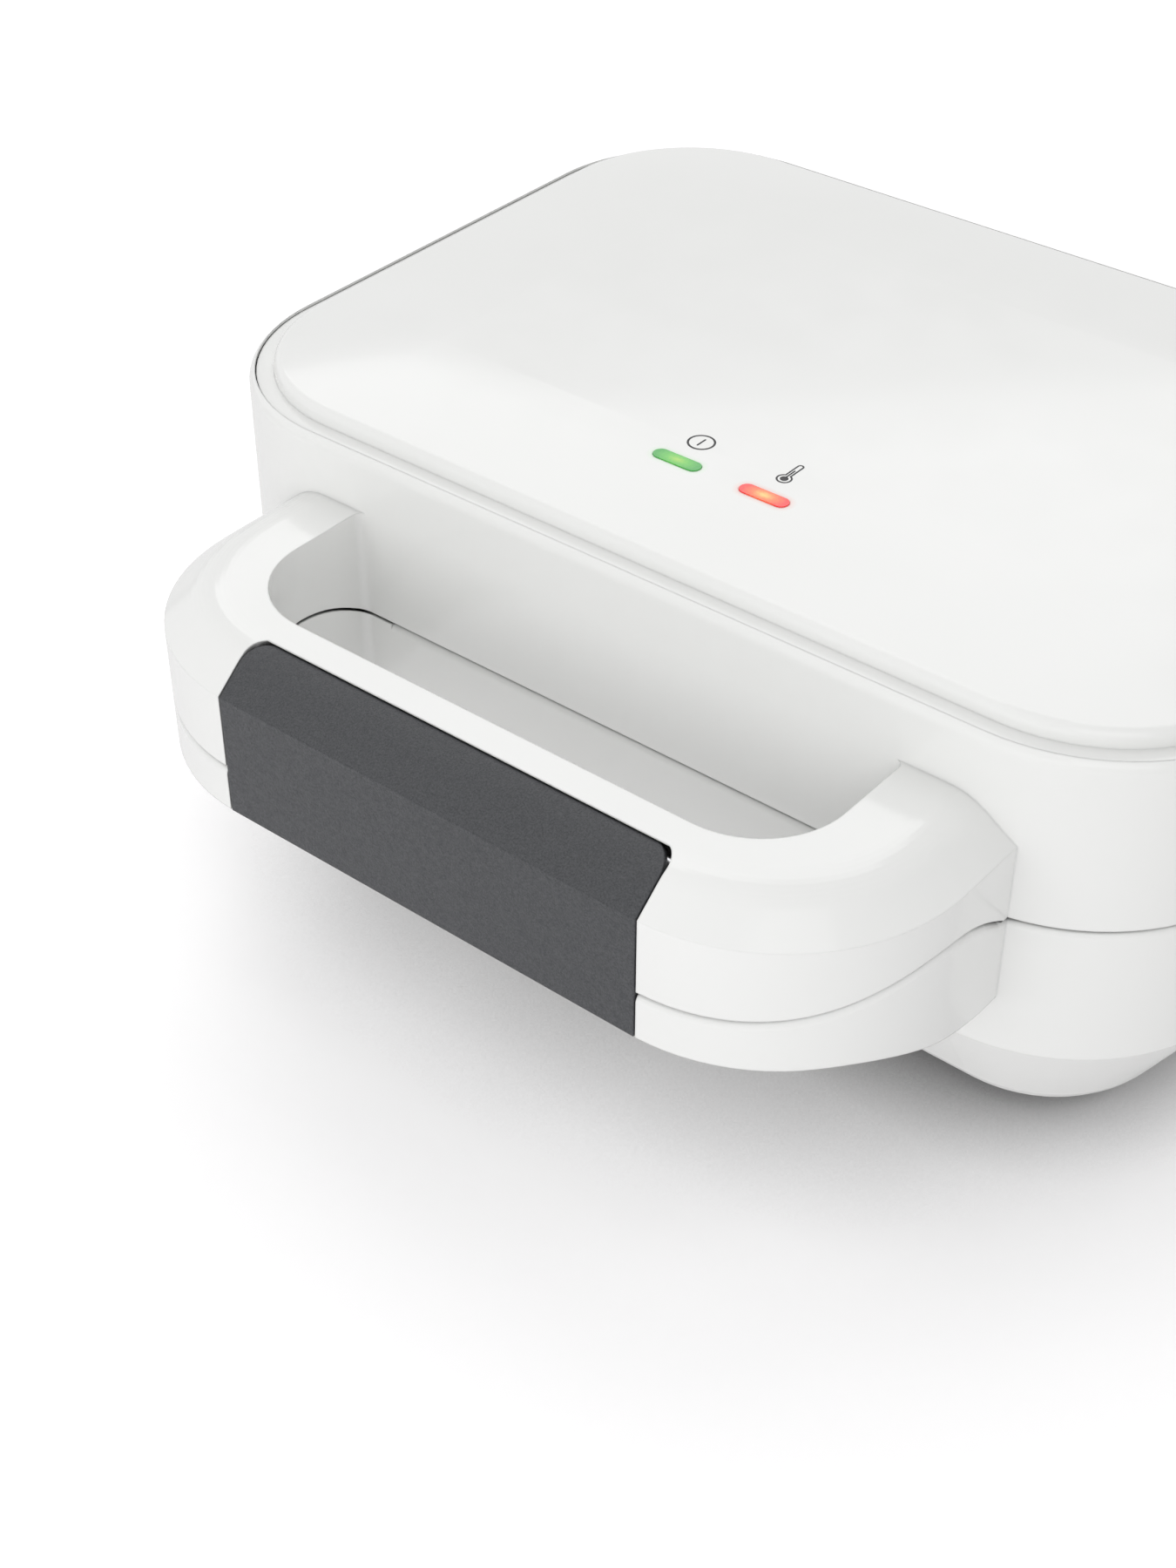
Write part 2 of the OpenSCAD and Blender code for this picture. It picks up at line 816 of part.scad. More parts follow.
// Cooking plate seen from its cooking side, with its flange's face at height 0
module plate_shape() {
    pan_h = pocket_h + plate_floor;
    difference() {
        union() {
            translate([0, 0, -flange_t])
                linear_extrude(flange_t)
                    rounded_rect(plate_w, plate_d, 14);
            for (s = [-1, 1])
                translate([s * pocket_c, 0, -pan_h])
                    linear_extrude(pan_h - 0.5)
                        rounded_rect(sandwich + 1, sandwich + 1, 12);
            for (sx = [-1, 1], sy = [-1, 1])
                translate([sx * post_x, sy * post_y, -pan_h - 2 * element_r - clamp_t - 3 + reflector_t])
                    cylinder(h = pan_h, r = post_r);
            for (s = [-1, 1])
                translate([s * pocket_c, 0, -pan_h - 2 * element_r - 0.1])
                    cylinder(h = pan_h, r = 4);
        }
        for (s = [0, 1], t = [0, 180])
            mirror([s, 0, 0])
                translate([pocket_c, 0, 0])
                    rotate(t)
                        pocket();
        for (sx = [-1, 1], sy = [-1, 1])
            translate([sx * post_x, sy * post_y, -pan_h - 2 * element_r - clamp_t - 4])
                cylinder(h = 2 * element_r + clamp_t + 4 + plate_floor - 1, r = screw_r + 0.02);
        for (s = [-1, 1])
            translate([s * pocket_c, 0, -pan_h - 2 * element_r - 1])
                cylinder(h = 2 * element_r + 1 + plate_floor - 1, r = screw_r + 0.02);
    }
}

lower_face_h = base_top_h + plate_proud;
upper_face_h = lid_low_h - plate_proud;

// Puts what is drawn for the lower half at the upper half, turned over
module lower_place() {
    translate([0, body_y, lower_face_h])
        children();
}

module upper_place() {
    translate([0, body_y, upper_face_h])
        mirror([0, 0, 1])
            children();
}

module lower_plate() {
    color(coated)
        lower_place()
            plate_shape();
}

module upper_plate() {
    color(coated)
        upper_place()
            plate_shape();
}

// ---------------------------------------------------------------- heating

back_h = -pocket_h - plate_floor;
element_h = back_h - element_r - 0.05;
bend_r = 20;
// The cold tails end above the plate's rear edge
tail_x = 14;
tail_l = (plate_d - element_d) / 2;

// A straight length of round stock from a to b
module rod(a, b, r) {
    d = b - a;
    translate(a)
        rotate([0, acos(d[2] / norm(d)), atan2(d[1], d[0])])
            cylinder(h = norm(d), r = r);
}

// A bent round stock through the points, with a slightly larger ball at each bend
module bent_rod(points, r) {
    for (i = [0 : len(points) - 2])
        rod(points[i], points[i + 1], r);
    for (i = [1 : len(points) - 2])
        translate(points[i])
            sphere(r + 0.1);
}

// Sheathed element: a loop under both pockets, open at the back, with two cold tails
module element_shape() {
    hx = element_w / 2;
    hy = element_d / 2;
    translate([0, 0, element_h]) {
        for (s = [-1, 1]) {
            rod([s * hx, -hy + bend_r, 0], [s * hx, hy - bend_r, 0], element_r);
            rod([s * (hx - bend_r), hy, 0], [s * tail_x, hy, 0], element_r);
            rod([s * tail_x, hy, 0], [s * tail_x, hy + tail_l, 0], 2);
            translate([s * tail_x, hy, 0])
                sphere(element_r);
        }
        rod([-hx + bend_r, -hy, 0], [hx - bend_r, -hy, 0], element_r);
        for (i = [0 : 3]) {
            sx = (i == 0 || i == 3) ? 1 : -1;
            sy = i < 2 ? 1 : -1;
            translate([sx * (hx - bend_r), sy * (hy - bend_r), 0])
                rotate(90 * i)
                    rotate_extrude(angle = 90)
                        translate([bend_r, 0])
                            circle(element_r);
        }
    }
}

// Pressed bars that hold the element against the plate
module clamps_shape() {
    for (s = [-1, 1])
        translate([s * pocket_c, 0, element_h - element_r - clamp_t - 0.1])
            linear_extrude(clamp_t)
                difference() {
                    rounded_rect(12, element_d + 12, 4);
                    circle(screw_r + 0.3);
                }
}

module clamp_screws_shape() {
    for (s = [-1, 1])
        translate([s * pocket_c, 0, element_h - element_r - clamp_t - 0.15]) {
            cylinder(h = 2 * element_r, r = screw_r);
            translate([0, 0, -head_h])
                cylinder(h = head_h, r = head_r);
        }
}

reflector_drop = back_h - 2 * element_r - clamp_t - 3;
reflector_w = plate_w - 12;
reflector_d = plate_d - 12;

// Inner outline of the tray's rim
module tray_inside() {
    rounded_rect(reflector_w - 2 * reflector_t, reflector_d - 2 * reflector_t, 10 - reflector_t);
}

// Shallow pressed tray that sends the heat back to the plate
module reflector_shape() {
    translate([0, 0, reflector_drop])
        difference() {
            union() {
                linear_extrude(reflector_t)
                    rounded_rect(reflector_w, reflector_d, 10);
                difference() {
                    linear_extrude(8)
                        rounded_rect(reflector_w, reflector_d, 10);
                    translate([0, 0, -1])
                        linear_extrude(10)
                            tray_inside();
                }
            }
            for (sx = [-1, 1], sy = [-1, 1])
                translate([sx * post_x, sy * post_y, -1])
                    cylinder(h = 3, r = screw_r + 0.5);
            for (s = [-1, 1])
                translate([s * tail_x, reflector_d / 2, 8])
                    rotate([90, 0, 0])
                        cylinder(h = 10, r = 5, center = true);
        }
}

module lower_element() {
    color(steel)
        lower_place()
            element_shape();
}

module upper_element() {
    color(steel)
        upper_place()
            element_shape();
}

module lower_element_clamps() {
    color(steel)
        lower_place()
            clamps_shape();
}

module upper_element_clamps() {
    color(steel)
        upper_place()
            clamps_shape();
}

module lower_clamp_screws() {
    color(steel)
        lower_place()
            clamp_screws_shape();
}

module upper_clamp_screws() {
    color(steel)
        upper_place()
            clamp_screws_shape();
}

module lower_reflector() {
    color(steel)
        lower_place()
            reflector_shape();
}

module upper_reflector() {
    color(steel)
        upper_place()
            reflector_shape();
}

// Snap disc thermostat on the back of the lower plate
module thermostat() {
    color(black)
        lower_place()
            translate([pocket_c + 20, -14, back_h - 0.05])
                mirror([0, 0, 1]) {
                    cylinder(h = 5, r = 8);
                    for (s = [-1, 1])
                        translate([s * 5, 0, 5 + 1])
                            cube([5, 0.8, 4], center = true);
                }
}

fuse_l = 12;
fuse_r = 2.2;

// Thermal cut-off lying on the back of the upper plate
module thermal_fuse() {
    color(steel)
        upper_place()
            translate([-pocket_c, -24, back_h - fuse_r - 0.05])
                rotate([0, 90, 0]) {
                    cylinder(h = fuse_l, r = fuse_r, center = true);
                    cylinder(h = fuse_l + 16, r = 0.6, center = true);
                }
}

// Spring strap that holds the cut-off down
module fuse_clip() {
    color(steel)
        upper_place()
            translate([-pocket_c, -24, back_h - 0.1])
                difference() {
                    mirror([0, 0, 1])
                        translate([-3, -7, 0])
                            cube([6, 14, 2 * fuse_r + 0.9]);
                    mirror([0, 0, 1])
                        translate([-4, -fuse_r - 0.15, -1])
                            cube([8, 2 * fuse_r + 0.3, 2 * fuse_r + 1.2]);
                    for (s = [-1, 1])
                        translate([0, s * 7, -fuse_r - 2.2])
                            cube([8, 5, 3.6], center = true);
                }
}

// ---------------------------------------------------------------- lid

lid_boss_low_h = upper_face_h - reflector_drop;

module lid_wall_section() {
    difference() {
        intersection() {
            translate([corner_r - wall_t, lid_low_h])
                square([wall_t, lid_wall_h]);
            union() {
                translate([0, lid_low_h])
                    square([corner_r, lid_wall_h - rim_round]);
                translate([corner_r - rim_round, rim_h - rim_round])
                    circle(rim_round);
            }
        }
        translate([corner_r - wall_t - 1, ledge_h - ledge_t - 0.05])
            square([wall_t - rim_w + 1, far]);
    }
}

module lid_housing() {
    color(white)
        difference() {
            union() {
                translate([0, body_y, 0])
                    rounded_ring(body_w, body_d, corner_r)
                        lid_wall_section();
                translate([0, 0, web_h])
                    linear_extrude(web_t)
                        body_outline(wall_t / 2);
                plate_deck(lid_low_h, lid_low_h - 1);
                difference() {
                    intersection() {
                        handle_solid();
                        above_parting(0);
                    }
                    intersection() {
                        handle_solid(wall_t);
                        above_parting(-1);
                        translate([-far / 2, front_y, 0])
                            cube([far, handle_reach - 1, far]);
                        difference() {
                            translate([-far / 2, front_y, 0])
                                cube([far, far, far]);
                            latch_backing();
                        }
                    }
                    latch_body(latch_gap);
                }
                intersection() {
                    at_cover_screws()
                        translate([0, 0, lid_low_h])
                            cylinder(h = crown_h - lid_low_h, r = cover_boss_r);
                    above_parting(cover_t);
                    handle_solid(wall_t / 2);
                }
                at_posts()
                    translate([0, 0, lid_boss_low_h])
                        cylinder(h = web_h - lid_boss_low_h + 1, r = boss_r);
                for (s = [-1, 1])
                    knuckle(s * hinge_x, lid_knuckle_w, 1);
            }
            hinge_bore();
            translate([0, front_y + latch_axis_v, latch_axis_h])
                rotate([0, 90, 0])
                    cylinder(h = latch_pin_l + 0.4, r = latch_pin_r + pin_play, center = true);
            at_posts()
                translate([0, 0, lid_boss_low_h - 1])
                    cylinder(h = 30, r = screw_r + 0.3);
            at_cover_screws()
                translate([0, 0, lid_low_h])
                    cylinder(h = crease_h - lid_low_h, r = screw_r - 0.1);
            translate([0, rear_y - 14, web_h - 1])
                cylinder(h = web_t + 2, r = 4);
        }
}

module upper_handle_cover() {
    color(white)
        difference() {
            intersection() {
                handle_solid(wall_t + 0.15);
                above_parting(0);
                below_parting(-20, -cover_t);
                translate([-far / 2, front_y, 0])
                    cube([far, handle_reach - 1.5, far]);
            }
            cover_front_cut();
            at_cover_screws()
                cover_screw_hole(lid_low_h + cover_screw_wave, 1);
        }
}

// ---------------------------------------------------------------- top panel

ledge_inset = rim_w + seam_w;
raised_inset = ledge_inset + ledge_w;
raised_r = corner_r - raised_inset;
panel_edge_r = panel_rise - 0.2;
crown_r = pow(raised_r - panel_edge_r, 2) / (2 * panel_dome);
panel_top_h = rim_h + panel_rise + panel_dome;
panel_skin = 2.2;
panel_low_h = ledge_h - ledge_t;

// Half section of the raised panel: a large arc that ends in the rounded edge
module panel_section(skin) {
    intersection() {
        translate([0, panel_top_h - skin - crown_r])
            circle(crown_r, $fn = fine_fn);
        union() {
            translate([0, panel_low_h])
                square([raised_r - panel_edge_r - skin, 20]);
            translate([0, panel_low_h])
                square([raised_r - skin, rim_h + panel_rise - panel_edge_r - panel_low_h]);
            translate([raised_r - panel_edge_r - skin, rim_h + panel_rise - panel_edge_r])
                circle(panel_edge_r);
        }
    }
}

module panel_solid(skin) {
    w = body_w - 2 * raised_inset;
    d = body_d - 2 * raised_inset;
    translate([0, body_y, 0]) {
        rounded_ring(w, d, raised_r)
            panel_section(skin);
        translate([0, 0, panel_low_h])
            linear_extrude(panel_top_h - skin - panel_low_h)
                square([w - 2 * raised_r, d - 2 * raised_r], center = true);
    }
}

lamp_y = wall_y + lamp_back;

module pill(grow = 0) {
    r = lens_w / 2 + grow;
    half = (lens_l - lens_w) / 2;
    square([2 * half, 2 * r], center = true);
    for (s = [-1, 1])
        translate([s * half, 0])
            circle(r);
}

module lid_top_panel() {
    color(white)
        difference() {
            union() {
                translate([0, 0, panel_low_h])
                    linear_extrude(ledge_t)
                        body_outline(ledge_inset);
                panel_solid(0);
            }
            difference() {
                translate([0, 0, -0.05])
                    panel_solid(panel_skin);
                panel_pegs();
            }
            for (s = [-1, 1])
                translate([s * lamp_pitch / 2, lamp_y, panel_low_h])
                    linear_extrude(20)
                        pill(0.05);
        }
    color(white)
        panel_pegs();
}

// Pegs under the panel that stand on the lid's web
module panel_pegs() {
    for (sx = [-1, 1], sy = [-1, 1])
        translate([sx * body_w / 4, body_y + sy * body_d / 4, web_h + web_t + 0.1])
            cylinder(h = panel_top_h - web_h - web_t - 1.5, r = 3);
}

// Height of the panel's surface over the lamps
lamp_edge = max(body_y - body_d / 2 + corner_r - lamp_y, 0);
lamp_top_h = panel_top_h - pow(lamp_edge, 2) / (2 * crown_r);

// A pill-shaped lens that stands a little proud, with a flange under the panel
module lens(s, tint) {
    color(tint)
        translate([s * lamp_pitch / 2, lamp_y, lamp_top_h - panel_skin]) {
            translate([0, 0, -0.5])
                linear_extrude(panel_skin + 0.7)
                    pill(-0.02);
            translate([0, 0, -1.3])
                linear_extrude(1)
                    pill(1);
        }
}

module power_lens() {
    lens(-1, [0.30, 0.75, 0.25]);
}

module ready_lens() {
    lens(1, [0.92, 0.28, 0.18]);
}

holder_h = 2;
holder_l = 44;
holder_w = 12;
lamp_r = 1.7;
lamp_l = 8;

module lamp_holder() {
    color(black)
        translate([0, lamp_y, web_h + web_t + 0.05])
            difference() {
                translate([-holder_l / 2, -holder_w / 2, 0])
                    cube([holder_l, holder_w, holder_h]);
                for (s = [-1, 1])
                    translate([s * lamp_pitch / 2, 0, holder_h + lamp_r * 0.5])
                        rotate([0, 90, 0])
                            cylinder(h = lamp_l + 3, r = lamp_r + 0.05, center = true);
            }
}

// Small neon bulb lying in its holder
module neon(s) {
    color([0.95, 0.85, 0.75])
        translate([s * lamp_pitch / 2, lamp_y, web_h + web_t + 0.05 + holder_h + lamp_r * 0.5])
            rotate([0, 90, 0]) {
                cylinder(h = lamp_l, r = lamp_r, center = true);
                translate([0, 0, lamp_l / 2])
                    sphere(lamp_r);
            }
}

module power_lamp() {
    neon(-1);
}

module ready_lamp() {
    neon(1);
}

// ---------------------------------------------------------------- fasteners and wires

module lower_plate_screws() {
    color(steel)
        at_posts() {
            translate([0, 0, screw_seat_h - head_h - 0.1])
                cylinder(h = head_h, r = head_r);
            translate([0, 0, screw_seat_h - 0.2])
                cylinder(h = 2 * seat_depth, r = screw_r);
        }
}

module upper_plate_screws() {
    color(steel)
        at_posts() {
            translate([0, 0, web_h + web_t + 0.05])
                cylinder(h = head_h, r = head_r);
            translate([0, 0, lid_boss_low_h - 8])
                cylinder(h = web_h + web_t + 0.1 - lid_boss_low_h + 8, r = screw_r);
        }
}

// A screw pointing along +Z (up) or -Z, whose head's inner face is at height h
module cover_screw(h, up) {
    translate([0, 0, h])
        mirror([0, 0, up > 0 ? 0 : 1]) {
            translate([0, 0, -cover_head_h - 0.05])
                cylinder(h = cover_head_h, r = head_r);
            translate([0, 0, -0.1])
                cylinder(h = cover_screw_l, r = screw_r - 0.12);
        }
}

module lower_cover_screws() {
    color(steel)
        at_cover_screws()
            cover_screw(lid_low_h - split_gap + cover_screw_wave - cover_sink, -1);
}

module upper_cover_screws() {
    color(steel)
        at_cover_screws()
            cover_screw(lid_low_h + cover_screw_wave + cover_sink, 1);
}

module hinge_pins() {
    reach = base_knuckle_x + knuckle_w / 2;
    color(steel)
        for (s = [-1, 1])
            translate([s * hinge_x, hinge_y, hinge_h])
                rotate([0, 90, 0])
                    mirror([0, 0, s > 0 ? 0 : 1]) {
                        cylinder(h = 2 * reach + 0.6, r = hinge_pin_r, center = true);
                        translate([0, 0, -reach - 0.3 - 1.2])
                            cylinder(h = 1.25, r = hinge_pin_r + 1);
                    }
}

wire_r = 1.1;
tail_y = body_y + plate_d / 2;

module base_wires() {
    tail_h = lower_face_h + element_h;
    block_h = floor_h + terminal_h;
    color(black)
        for (s = [-1, 1])
            bent_rod([
                [s * tail_x, tail_y + 0.3, tail_h],
                [s * tail_x, tail_y + 4, tail_h],
                [s * terminal_pitch, terminal_y + terminal_row, block_h + 3],
                [s * terminal_pitch, terminal_y + terminal_row, block_h + 0.3]], wire_r);
}

module lid_wires() {
    tail_h = upper_face_h - element_h;
    color(black)
        for (s = [-1, 1])
            bent_rod([
                [s * tail_x, tail_y + 0.3, tail_h],
                [s * tail_x, tail_y + 3, tail_h],
                [s * 2, rear_y - 14, web_h - 3],
                [s * 2, rear_y - 14, web_h + web_t + 1.5],
                [s * 18, lamp_y + holder_w / 2 + 0.3, web_h + web_t + 1.5]], wire_r);
}

lower_housing();
lower_handle_cover();
lower_plate();
lower_element();
lower_element_clamps();
lower_clamp_screws();
lower_reflector();
lower_plate_screws();
lower_cover_screws();
thermostat();
terminal_block();
cord_gland();
feet();
hinge_pins();
base_wires();
lid_housing();
lid_top_panel();
upper_handle_cover();
upper_plate();
upper_element();
upper_element_clamps();
upper_clamp_screws();
upper_reflector();
upper_plate_screws();
upper_cover_screws();
thermal_fuse();
fuse_clip();
power_lens();
ready_lens();
power_lamp();
ready_lamp();
lamp_holder();
lid_wires();
latch_pin();
latch();
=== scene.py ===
import json
import math

import bmesh
import bpy
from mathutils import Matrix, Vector


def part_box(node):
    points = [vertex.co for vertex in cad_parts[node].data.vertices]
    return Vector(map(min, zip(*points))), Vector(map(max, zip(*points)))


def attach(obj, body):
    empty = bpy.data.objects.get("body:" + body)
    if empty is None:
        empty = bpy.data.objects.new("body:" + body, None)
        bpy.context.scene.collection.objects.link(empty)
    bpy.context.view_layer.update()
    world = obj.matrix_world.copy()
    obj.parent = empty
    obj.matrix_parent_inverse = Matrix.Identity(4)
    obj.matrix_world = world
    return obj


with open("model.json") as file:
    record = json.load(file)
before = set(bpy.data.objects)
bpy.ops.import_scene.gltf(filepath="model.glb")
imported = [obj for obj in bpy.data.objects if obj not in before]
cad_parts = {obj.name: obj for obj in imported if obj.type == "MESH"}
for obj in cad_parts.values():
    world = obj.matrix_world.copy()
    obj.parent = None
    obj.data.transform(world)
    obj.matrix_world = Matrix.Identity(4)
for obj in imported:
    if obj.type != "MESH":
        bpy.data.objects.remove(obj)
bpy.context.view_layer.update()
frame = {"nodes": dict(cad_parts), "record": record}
NODES = frame["nodes"]
MM = 0.001

# Camera, recovered from the photograph's straight edges
CAMERA_AZIMUTH = 39.2
CAMERA_ELEVATION = 38.3
CAMERA_LENS = 55.29
CAMERA_PLACE = (0.2616, -0.3976, 0.3886)

# Panel: its raised middle turns down in front of this depth, on this radius
PANEL_FLAT_FROM = 42 * MM
PANEL_DOME_R = 368 * MM
LENS_FLANGE = 1 * MM

# Printed signs: how far they stand above the panel and reach into it
INK_ABOVE = 0.025 * MM
INK_BELOW = 0.03 * MM

# Name, place, size in metres and power in watts; and whether gloss mirrors it
LAMPS = (
    ("key", (-0.7, 0.7, 1.5), (0, 0, 0.05), (1.6, 1.6), 9.5, True),
    ("fill", (0.9, -0.9, 1.1), (0, 0, 0.05), (1.0, 1.0), 2.2, True),
    ("front", (0.1, -1.5, 0.45), (0, 0, 0.06), (1.4, 0.8), 7.2, False),
)
WORLD_LIGHT = 0.60
WORLD_SEEN = 1.0


# ---------------------------------------------------------------- camera

def make_camera():
    azimuth, elevation = math.radians(CAMERA_AZIMUTH), math.radians(CAMERA_ELEVATION)
    back = Vector((
        math.sin(azimuth) * math.cos(elevation),
        -math.cos(azimuth) * math.cos(elevation),
        math.sin(elevation)))
    data = bpy.data.cameras.new("camera")
    data.lens = CAMERA_LENS
    data.sensor_width = 36
    data.clip_start = 0.01
    data.clip_end = 50
    camera = bpy.data.objects.new("camera", data)
    bpy.context.scene.collection.objects.link(camera)
    camera.location = CAMERA_PLACE
    camera.rotation_mode = "QUATERNION"
    camera.rotation_quaternion = (-back).to_track_quat("-Z", "Y")
    bpy.context.scene.camera = camera


# ---------------------------------------------------------------- shader helpers

def new_material(name):
    m = bpy.data.materials.new(name)
    m.use_nodes = True
    tree = m.node_tree
    return m, tree, tree.nodes["Principled BSDF"]


def node(tree, kind, **values):
    n = tree.nodes.new(kind)
    for key, value in values.items():
        if key in n.inputs.keys():
            n.inputs[key].default_value = value
        else:
            setattr(n, key, value)
    return n


def feed(tree, value, socket):
    """Links another node's output to a socket, or writes a number or vector into it."""
    if isinstance(value, bpy.types.NodeSocket):
        tree.links.new(value, socket)
    else:
        socket.default_value = value


def maths(tree, operation, *values):
    n = node(tree, "ShaderNodeMath", operation=operation)
    for socket, value in zip(n.inputs, values):
        feed(tree, value, socket)
    return n.outputs["Value"]


def vector_maths(tree, operation, *values):
    n = node(tree, "ShaderNodeVectorMath", operation=operation)
    for socket, value in zip(n.inputs, values):
        feed(tree, value, socket)
    return n.outputs["Value" if operation == "LENGTH" else "Vector"]


def coordinates(tree):
    return node(tree, "ShaderNodeTexCoord").outputs["Object"]


def noise(tree, scale, detail=3.0, roughness=0.5):
    n = node(tree, "ShaderNodeTexNoise", Scale=scale, Detail=detail, Roughness=roughness)
    tree.links.new(coordinates(tree), n.inputs["Vector"])
    return n.outputs["Fac"]


def remap(tree, value, low, high, from_low=0.35, from_high=0.65, kind="LINEAR"):
    n = node(tree, "ShaderNodeMapRange", interpolation_type=kind)
    n.inputs["From Min"].default_value = from_low
    n.inputs["From Max"].default_value = from_high
    n.inputs["To Min"].default_value = low
    n.inputs["To Max"].default_value = high
    tree.links.new(value, n.inputs["Value"])
    return n.outputs["Result"]


def mix_colours(tree, factor, a, b, how="MIX"):
    """Each colour is three numbers or another node's output."""
    n = node(tree, "ShaderNodeMix", data_type="RGBA", blend_type=how)
    feed(tree, factor, n.inputs["Factor"])
    feed(tree, (*a, 1) if isinstance(a, tuple) else a, n.inputs["A"])
    feed(tree, (*b, 1) if isinstance(b, tuple) else b, n.inputs["B"])
    return n.outputs["Result"]


def bump(tree, height, strength, distance, below=None):
    n = node(tree, "ShaderNodeBump")
    n.inputs["Strength"].default_value = strength
    n.inputs["Distance"].default_value = distance
    tree.links.new(height, n.inputs["Height"])
    if below is not None:
        tree.links.new(below, n.inputs["Normal"])
    return n.outputs["Normal"]


def soft_edges(tree, radius):
    """Normals that run smoothly round each hard edge, as a moulded edge does."""
    return node(tree, "ShaderNodeBevel", samples=6, Radius=radius).outputs["Normal"]


def painted_crevice_shade(tree, colour, reach, low, full, share=1):
    """Painted shade: darkens a colour where surfaces nearly meet, by how much of the sky
    they see.
    """
    seen = node(tree, "ShaderNodeAmbientOcclusion", samples=10, Distance=reach)
    depth = remap(tree, seen.outputs["AO"], low, 1, 0, full, "SMOOTHSTEP")
    return mix_colours(tree, share, colour, depth, "MULTIPLY")


def lens_size(name):
    """Middle, half length and half width of a lens, without its hidden flange."""
    low, high = (Vector(v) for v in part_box(name))
    half = (high - low) / 2
    return (low + high) / 2, half.x - LENS_FLANGE, half.y - LENS_FLANGE


def from_middle(tree, centre):
    return vector_maths(tree, "SUBTRACT", coordinates(tree), (centre.x, centre.y, 0))


def pill_distance(tree, name):
    """Distance in plan from a lens's outline, in metres, as a node output."""
    centre, half_l, half_w = lens_size(name)
    parts = node(tree, "ShaderNodeSeparateXYZ")
    tree.links.new(from_middle(tree, centre), parts.inputs[0])
    side = maths(tree, "ABSOLUTE", parts.outputs["X"])
    past = maths(tree, "MAXIMUM", maths(tree, "SUBTRACT", side, half_l - half_w), 0)
    flat = node(tree, "ShaderNodeCombineXYZ")
    tree.links.new(past, flat.inputs["X"])
    tree.links.new(parts.outputs["Y"], flat.inputs["Y"])
    length = vector_maths(tree, "LENGTH", flat.outputs["Vector"])
    return maths(tree, "SUBTRACT", length, half_w)


# ---------------------------------------------------------------- materials

def white_plastic(name, lamp_glow_tones=()):
    """Glossy white moulding. Each lamp tone paints a faint glow of its lamp's light on the
    panel round its lens; without lamp tones, gaps and concave corners get painted shade.
    """
    m, tree, p = new_material(name)
    cloud = remap(tree, noise(tree, 9.0, 2.0), 0, 1)
    colour = mix_colours(tree, cloud, (0.838, 0.842, 0.828), (0.858, 0.861, 0.850))
    for lens, tone in lamp_glow_tones:
        # Painted light: the lamp's glow, painted as a tint on the panel round the lens.
        painted_lamp_glow = remap(tree, pill_distance(tree, lens), 0.55, 0, 0.3 * MM, 1.6 * MM)
        colour = mix_colours(tree, painted_lamp_glow, colour, tone)
    if not lamp_glow_tones:
        # Painted shade: darker where surfaces nearly meet, as in the parting gap and
        # concave corners.
        colour = painted_crevice_shade(tree, colour, 4 * MM, 0.04, 0.64)
    tree.links.new(colour, p.inputs["Base Color"])
    tree.links.new(remap(tree, noise(tree, 60.0), 0.13, 0.19), p.inputs["Roughness"])
    ripple = bump(tree, noise(tree, 26.0, 1.0), 0.10, 0.6 * MM, soft_edges(tree, 0.6 * MM))
    skin = bump(tree, noise(tree, 900.0, 2.0), 0.05, 0.06 * MM, ripple)
    tree.links.new(skin, p.inputs["Normal"])
    p.inputs["IOR"].default_value = 1.52
    p.inputs["Coat Weight"].default_value = 0.25
    p.inputs["Coat Roughness"].default_value = 0.06
    return m


def lit_lens(name, lens, tones, glow):
    """A clear coloured lens over a small lamp: hot in the middle, deep at its ends."""
    m, tree, p = new_material(name)
    centre, half_l, half_w = lens_size(lens)
    scale = (1 / half_l, 0.55 / half_w, 0)
    place = vector_maths(tree, "MULTIPLY", from_middle(tree, centre), scale)
    grain = noise(tree, 1500.0, 2.0)
    out = maths(tree, "MULTIPLY_ADD", grain, 0.25, vector_maths(tree, "LENGTH", place))
    ramp = node(tree, "ShaderNodeValToRGB")
    first, last = ramp.color_ramp.elements
    first.position, last.position = 0.12, 1.05
    first.color, last.color = (*tones[0], 1), (*tones[2], 1)
    ramp.color_ramp.elements.new(0.55).color = (*tones[1], 1)
    tree.links.new(out, ramp.inputs["Fac"])
    tree.links.new(ramp.outputs["Color"], p.inputs["Base Color"])
    tree.links.new(ramp.outputs["Color"], p.inputs["Emission Color"])
    p.inputs["Emission Strength"].default_value = glow
    p.inputs["Roughness"].default_value = 0.12
    p.inputs["IOR"].default_value = 1.49
    tree.links.new(bump(tree, grain, 0.15, 0.08 * MM), p.inputs["Normal"])
    return m


def grey_grip():
    """Soft-touch grey. Its grain is coarser on the sloped top than on the front."""
    m, tree, p = new_material("grey_grip")
    grain = noise(tree, 2600.0, 3.0, 0.65)
    parts = node(tree, "ShaderNodeSeparateXYZ")
    tree.links.new(coordinates(tree), parts.inputs[0])
    slope = remap(tree, parts.outputs["Z"], 0.3, 1.0, 89.3 * MM, 90.8 * MM)
    speckle = remap(tree, grain, 0, 1)
    colour = mix_colours(tree, speckle, (0.038, 0.040, 0.044), (0.074, 0.076, 0.082))
    tree.links.new(colour, p.inputs["Base Color"])
    tree.links.new(remap(tree, noise(tree, 700.0), 0.42, 0.54), p.inputs["Roughness"])
    coarse = maths(tree, "MULTIPLY", grain, slope)
    first = bump(tree, coarse, 1.0, 0.4 * MM, soft_edges(tree, 0.8 * MM))
    fine = bump(tree, noise(tree, 7000.0, 2.0), 0.15, 0.05 * MM, first)
    tree.links.new(fine, p.inputs["Normal"])
    return m


